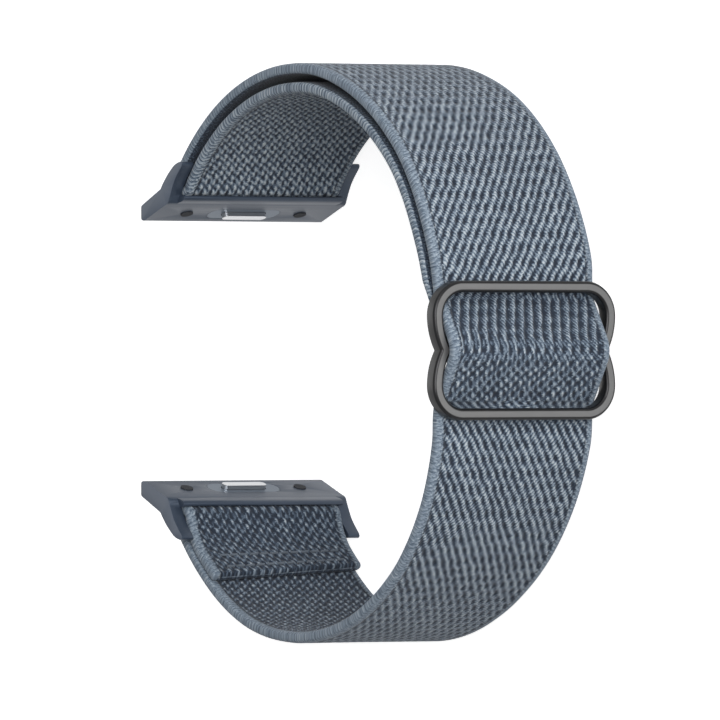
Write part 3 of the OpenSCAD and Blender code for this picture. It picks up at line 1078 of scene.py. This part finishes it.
class STRAP_OT_webbing(bpy.types.Operator):
    """Lay the webbing round the lugs and the slider"""

    bl_idname = "strap.webbing"
    bl_label = "Webbing"

    def execute(self, context):
        s = strap_sizes()
        look = context.scene.strap_webbing
        half_field = look.ribs * look.rib_pitch / 2
        path, marks = strap_path(s)
        strap = SimpleNamespace(
            sizes=s, look=look, half_field=half_field, path=path, marks=marks
        )
        finish = webbing_finish(look, half_field)
        # From, to, mesh steps a rib on the back, how low on the side it is painted dark as shadow,
        # and its nodes
        stretches = {
            "webbing_flap": (0, marks.lower_fold, 1, -0.97, ("webbing_lower",)),
            "webbing_outer_lower": (marks.lower_fold, marks.crest, 4, -2, ("webbing_lower",)),
            "webbing_outer_upper": (marks.crest, marks.fold, 1, -0.8, ("webbing_wave",)),
            "webbing_inner_layer": (
                marks.fold, marks.end, 1, -0.9, ("webbing_upper", "webbing_end_loop"),
            ),
        }
        for name, (start, end, back_steps, shadow_below, nodes) in stretches.items():
            piece = webbing_piece(name, strap, start, end, back_steps, shadow_below)
            dress(piece, finish)
            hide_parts(*nodes)
            sign = 1 if marks.crest < (start + end) / 2 else -1
            ends = [polar(s.loop_r, turn - 90) * [sign, 1] for turn in BLEND_DEG]
            start_at, end_at = [
                ((s.centre[0] + e[0]) * MM, (s.centre[1] + e[1]) * MM, s.mid_z * MM)
                for e in ends
            ]
            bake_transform(piece)
        return {"FINISHED"}


class STRAP_OT_slider(bpy.types.Operator):
    """Make the slider's frame"""

    bl_idname = "strap.slider"
    bl_label = "Slider"

    def execute(self, context):
        s = strap_sizes()
        metal = context.scene.strap_metal
        vertices, faces, painted_light = slider_mesh(s)
        piece = new_piece("slider", vertices, faces, smooth_deg=40)
        store(piece, "plate_tone", np.repeat(np.array(painted_light), 3))
        dress(piece, plated_finish(metal))
        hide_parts("slider_frame")
        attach(piece, "slider")
        return {"FINISHED"}


class STRAP_OT_lugs(bpy.types.Operator):
    """Make the two lug adapters"""

    bl_idname = "strap.lugs"
    bl_label = "Lugs"

    def execute(self, context):
        metal = context.scene.strap_metal
        pale = tuple(c * 1.5 for c in metal.slate)
        finish = metal_finish(
            "slate_anodised", metal.slate, pale, metallic=0.4, rough=0.45, grain_mm=0.08
        )
        for side in SIDES:
            node = side + "_lug_body"
            piece = softened(node, side + "_lug", metal.edge_round)
            dress(piece, finish)
            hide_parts(node)
            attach(piece, side + "_lug")
        return {"FINISHED"}


class STRAP_OT_fittings(bpy.types.Operator):
    """Finish the catches, springs, plates, pads and stitching"""

    bl_idname = "strap.fittings"
    bl_label = "Fittings"

    def execute(self, context):
        scene = context.scene
        steel = metal_finish(
            "catch_steel", (0.45, 0.46, 0.48), (0.6, 0.61, 0.62),
            metallic=1, rough=0.3, grain_mm=0.1,
        )
        spring = metal_finish(
            "leaf_steel", (0.55, 0.56, 0.58), (0.7, 0.7, 0.7),
            metallic=1, rough=0.22, grain_mm=0.2,
        )
        plate = metal_finish(
            "plate_slate", scene.strap_metal.retainer, (0.1, 0.13, 0.17),
            metallic=0.6, rough=0.4, grain_mm=0.1,
        )
        rubber = rubber_finish()
        for side in SIDES:
            parts = {
                "catch": (steel, "catch_steel"), "spring": (spring, "spring_steel"),
                "retainer": (plate, "lug_metal"), "pads": (rubber, "pad_rubber"),
            }
            dress(leaf_spring(side), spring)
            for part, (finish, slot) in parts.items():
                dress(frame["nodes"][f"{side}_lug_{part}"], finish)
        thread = thread_finish(scene.strap_webbing.sewing)
        dress(flap_seams(strap_sizes()), thread)
        for node in ("flap_stitching", "end_loop_stitching"):
            dress(frame["nodes"][node], thread)
        return {"FINISHED"}


class STRAP_OT_stage(bpy.types.Operator):
    """Set the floor, the lights and the camera"""

    bl_idname = "strap.stage"
    bl_label = "Stage"

    def execute(self, context):
        scene = context.scene
        stage = scene.strap_stage
        scene.view_settings.view_transform = "Standard"
        self.floor(stage)
        self.sky(scene, stage.sky)
        self.lamps(stage.key)
        self.camera(scene, stage)
        return {"FINISHED"}

    def floor(self, stage):
        """A pale floor, lighter to the camera, that keeps the strap's shadow."""
        reach, gap = 3000, 0.05
        around = ((-1, -1), (1, -1), (1, 1), (-1, 1))
        corners = [(x * reach, y * reach, -gap) for x, y in around]
        floor = new_piece("floor", corners, [(0, 1, 2, 3)])
        f = Finish("pale_floor", Base_Color=(0.86, 0.86, 0.86), Roughness=0.9,
                   Specular_IOR_Level=0.0, Emission_Strength=1.0)
        lift = stage.floor_lift
        f.set(Emission_Color=f.mix(f.seen(), (0, 0, 0), (lift, lift, lift)))
        floor.data.materials.append(f.material)

    def sky(self, scene, strength):
        """Even light from all round, white to the camera."""
        scene.world = bpy.data.worlds.new("studio")
        scene.world.use_nodes = True
        sky = Nodes(scene.world.node_tree)
        even, white = [
            sky.node("Background", None, {"Color": (1, 1, 1), "Strength": level})
            for level in (strength, 1.0)
        ]
        mixed = sky.node("MixShader", None, {0: sky.seen(), 1: even, 2: white})
        sky.node("OutputWorld", None, {"Surface": mixed})

    def lamps(self, power):
        """A broad key from above and beside the slider, and two soft fills."""
        strap = Vector((0, 0, 0.015))
        # Place and width in metres, and power in watts
        lamps = {
            "key": ((0.12, -0.63, 0.36), 0.45, power),
            "fill": ((0.5, -0.3, 0.3), 0.4, power * 0.12),
            "back": ((0.1, 0.6, 0.45), 0.4, power * 0.12),
        }
        for name, (place, size, watts) in lamps.items():
            light = bpy.data.lights.new(name, "AREA")
            light.size = size
            light.energy = watts
            lamp = linked(name, light)
            lamp.location = place
            lamp.rotation_euler = (strap - lamp.location).to_track_quat("-Z", "Y").to_euler()

    def camera(self, scene, stage):
        """The photograph's view: along the strap's edge, turned by the yaw, with +X up."""
        sine, cosine = math.sin(stage.yaw), math.cos(stage.yaw)
        ahead = Vector((0, cosine, -sine))
        up = Vector((1, 0, 0))
        right = ahead.cross(up)
        bar_y = joint_place("upper_lug_swing")[1]
        # A point between the lugs, at the near end of their bars, and its pixel in the photograph
        aim = Vector((0, bar_y - 2.2, strap_sizes().mid_z + 13)) * MM
        aim_px = (187.65, 350.8)
        per_px = 1 / stage.scale * MM
        place = aim - ahead * stage.distance
        place -= right * (aim_px[0] - PHOTO_PX / 2) * per_px
        place -= up * (PHOTO_PX / 2 - aim_px[1]) * per_px
        data = bpy.data.cameras.new("camera")
        data.sensor_width = 36
        data.lens = data.sensor_width * stage.scale / MM * stage.distance / PHOTO_PX
        data.clip_start, data.clip_end = 0.05, 20
        camera = linked("camera", data)
        turn = Matrix((right, up, -ahead)).transposed().to_4x4()
        camera.matrix_world = Matrix.Translation(place) @ turn
        scene.camera = camera


class STRAP_PT_panel(bpy.types.Panel):
    """The strap's values and steps"""

    bl_idname = "STRAP_PT_panel"
    bl_label = "Nylon watch strap"
    bl_space_type = "VIEW_3D"
    bl_region_type = "UI"
    bl_category = "Strap"

    def draw(self, context):
        for key, group in GROUPS.items():
            box = self.layout.box()
            for name in group.__annotations__:
                box.prop(getattr(context.scene, key), name)
        for operator in OPERATORS:
            self.layout.operator(operator.bl_idname)


OPERATORS = (
    STRAP_OT_stage,
    STRAP_OT_webbing,
    STRAP_OT_slider,
    STRAP_OT_lugs,
    STRAP_OT_fittings,
)
GROUPS = {"strap_webbing": WebbingLook, "strap_metal": MetalLook, "strap_stage": StageLook}


def register():
    for group in GROUPS.values():
        bpy.utils.register_class(group)
    for name, group in GROUPS.items():
        setattr(bpy.types.Scene, name, bpy.props.PointerProperty(type=group))
    for operator in OPERATORS:
        bpy.utils.register_class(operator)
    bpy.utils.register_class(STRAP_PT_panel)


def unregister():
    bpy.utils.unregister_class(STRAP_PT_panel)
    for operator in reversed(OPERATORS):
        bpy.utils.unregister_class(operator)
    for name, group in GROUPS.items():
        delattr(bpy.types.Scene, name)
        bpy.utils.unregister_class(group)


def main():
    register()
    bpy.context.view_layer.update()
    for operator in OPERATORS:
        group, name = operator.bl_idname.split(".")
        getattr(getattr(bpy.ops, group), name)()


if __name__ == "__main__":
    main()
